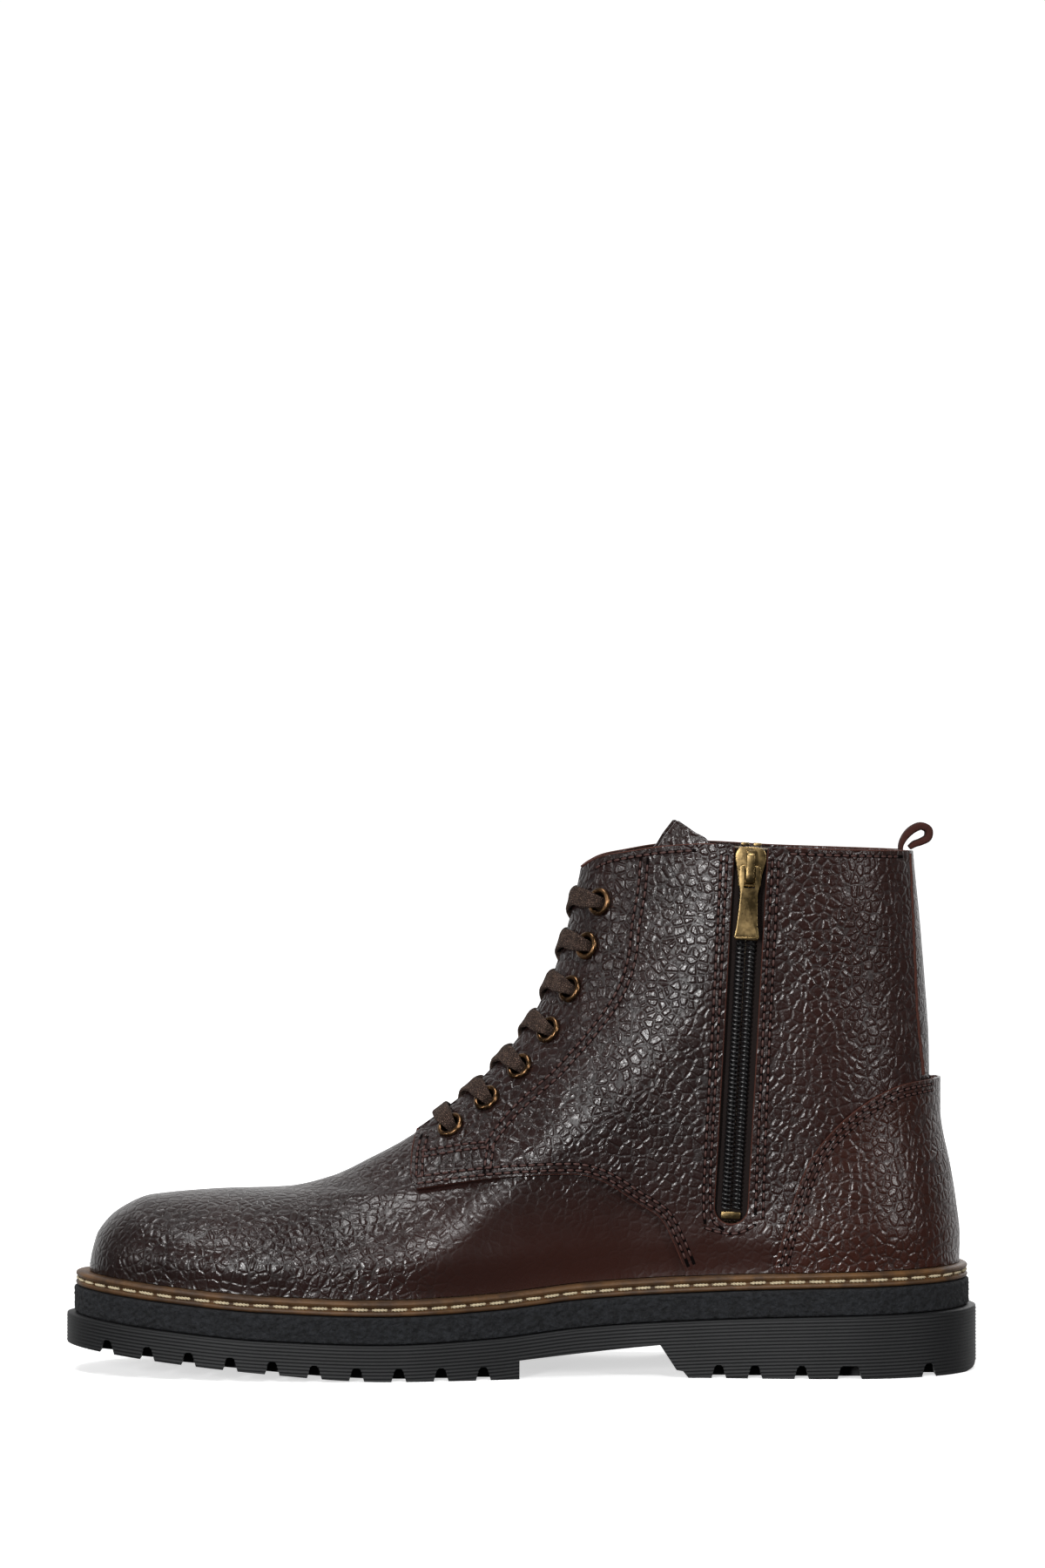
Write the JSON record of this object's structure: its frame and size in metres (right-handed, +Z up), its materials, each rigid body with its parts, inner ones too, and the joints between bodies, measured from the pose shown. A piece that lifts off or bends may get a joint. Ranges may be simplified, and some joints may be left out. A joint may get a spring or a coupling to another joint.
{
  "type": "lace-up zip ankle boot",
  "caption": "Right ankle boot in dark pebbled leather with a lace-up front, an inner side zip, a warm lining and a stitched welt on a lugged sole.",
  "frame": {"origin": "bottom centre of the boot's box, on the ground", "axes": "+X from toe to heel, -Y towards the inner (zip) side, +Z up"},
  "size_m": [0.3086, 0.1092, 0.186],
  "materials": {
    "outsole": "near-black moulded rubber, fine horizontal striations, matt",
    "midsole": "charcoal crepe-textured foam rubber",
    "welt": "tan-brown storm welt with two rolled beads",
    "thread": "off-white twisted waxed thread",
    "board": "pressed fibre board and cork",
    "steel": "spring steel strip",
    "fleece": "warm wool-blend pile",
    "leather": "very dark reddish-brown pebbled leather, waxed sheen, burnished toe",
    "brass": "antique brass, darkened in the recesses",
    "lace": "flat waxed woven lace, dark grey-brown",
    "black_plastic": "black nylon",
    "zip_tape": "black woven tape"
  },
  "bodies": {
    "boot": {"outsole": "outsole", "midsole": "midsole", "welt": "welt", "welt_thread": "thread", "insole_board": "board", "bottom_filler": "board", "toe_puff": "board", "heel_stiffener": "board", "shank": "steel", "footbed": "fleece", "lining": "fleece", "vamp": "leather", "quarter_medial": "leather", "quarter_lateral": "leather", "facing_stay_medial": "leather", "facing_stay_lateral": "leather", "back_strip": "leather", "heel_counter_cover": "leather", "pull_loop": "leather", "eyelet_medial_1": "brass", "eyelet_medial_2": "brass", "eyelet_medial_3": "brass", "eyelet_medial_4": "brass", "eyelet_medial_5": "brass", "eyelet_medial_6": "brass", "eyelet_medial_7": "brass", "eyelet_lateral_1": "brass", "eyelet_lateral_2": "brass", "eyelet_lateral_3": "brass", "eyelet_lateral_4": "brass", "eyelet_lateral_5": "brass", "eyelet_lateral_6": "brass", "eyelet_lateral_7": "brass", "zip_top_stop_front": "brass", "zip_top_stop_rear": "brass", "zip_bottom_stop": "brass", "lace": "lace", "aglet_medial": "black_plastic", "aglet_lateral": "black_plastic", "zip_coil_front": "black_plastic", "zip_coil_rear": "black_plastic", "zip_tape_front": "zip_tape", "zip_tape_rear": "zip_tape"},
    "zip_slider": {"zip_slider": "brass"},
    "zip_pull": {"zip_pull": "brass"},
    "tongue": {"tongue": "leather"}
  },
  "joints": [
    {"name": "zip_slide", "type": "slide", "parent": "boot", "child": "zip_slider", "axis": [-0.0544, 0.031, -0.998], "range_m": [0, 0.106]},
    {"name": "zip_pull_swing", "type": "hinge", "parent": "zip_slider", "child": "zip_pull", "pos_m": [0.07601, -0.03956, 0.17041], "axis": [-0.9985, 0, 0.0545], "range_deg": [0, 165]},
    {"name": "tongue_swing", "type": "hinge", "parent": "boot", "child": "tongue", "pos_m": [-0.044, 0, 0.066], "axis": [0, 1, 0], "range_deg": [0, 9]}
  ]
}
